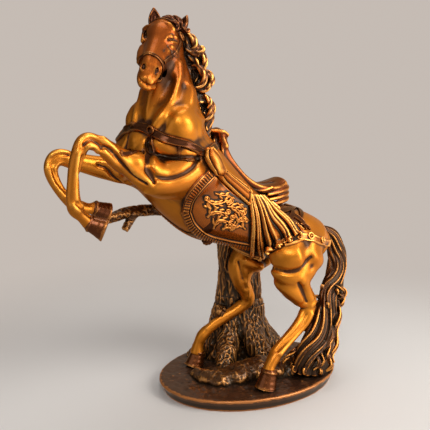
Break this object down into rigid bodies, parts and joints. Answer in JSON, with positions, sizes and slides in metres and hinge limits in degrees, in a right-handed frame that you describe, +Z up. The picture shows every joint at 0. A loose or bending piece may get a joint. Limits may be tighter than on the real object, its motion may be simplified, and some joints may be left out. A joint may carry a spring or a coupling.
{
  "type": "horse sculpture",
  "caption": "Saddled horse rearing on an oval base, cast in lacquered resin, with a tree stump, a branch and the tail as its props.",
  "frame": {"origin": "centre of the oval base's underside, on the surface that it stands on", "axes": "+Z up, -X the way the horse faces, -Y toward the horse's left side, which it bends and turns to"},
  "size_m": [0.4807, 0.2559, 0.548],
  "materials": {
    "felt": "short black felt",
    "dark_patina": "brown-black patina with rubbed gold edges",
    "gold_lacquer": "glossy copper-gold metallic lacquer over cast resin",
    "copper_lacquer": "glossy copper metallic lacquer over cast resin",
    "bronze_lacquer": "glossy brown bronze lacquer with rubbed gold edges",
    "steel": "plain drawn steel"
  },
  "bodies": {
    "root": {"felt_pad": "felt", "base_plinth": "dark_patina", "ground_rocks": "dark_patina", "tree_stump": "dark_patina", "branch": "dark_patina", "torso": "gold_lacquer", "foreleg_left": "gold_lacquer", "foreleg_right": "gold_lacquer", "hind_leg_left": "gold_lacquer", "hind_leg_right": "gold_lacquer", "drape_left": "gold_lacquer", "drape_right": "gold_lacquer", "rump_band": "gold_lacquer", "rump_leaf": "gold_lacquer", "neck": "copper_lacquer", "head": "copper_lacquer", "saddle_blanket": "copper_lacquer", "ear_left": "bronze_lacquer", "ear_right": "bronze_lacquer", "bridle": "bronze_lacquer", "forelock": "bronze_lacquer", "mane_upper": "bronze_lacquer", "mane_lower": "bronze_lacquer", "fore_hoof_left": "bronze_lacquer", "fore_hoof_right": "bronze_lacquer", "hind_hoof_left": "bronze_lacquer", "hind_hoof_right": "bronze_lacquer", "tail": "bronze_lacquer", "saddle_flaps": "bronze_lacquer", "saddle_seat": "bronze_lacquer", "breast_collar": "bronze_lacquer", "girth": "bronze_lacquer", "rod_left": "steel", "rod_right": "steel", "neck_pin": "steel", "head_pin": "steel", "foreleg_pin_left": "steel", "foreleg_pin_right": "steel", "tail_pin": "steel"}
  },
  "joints": []
}
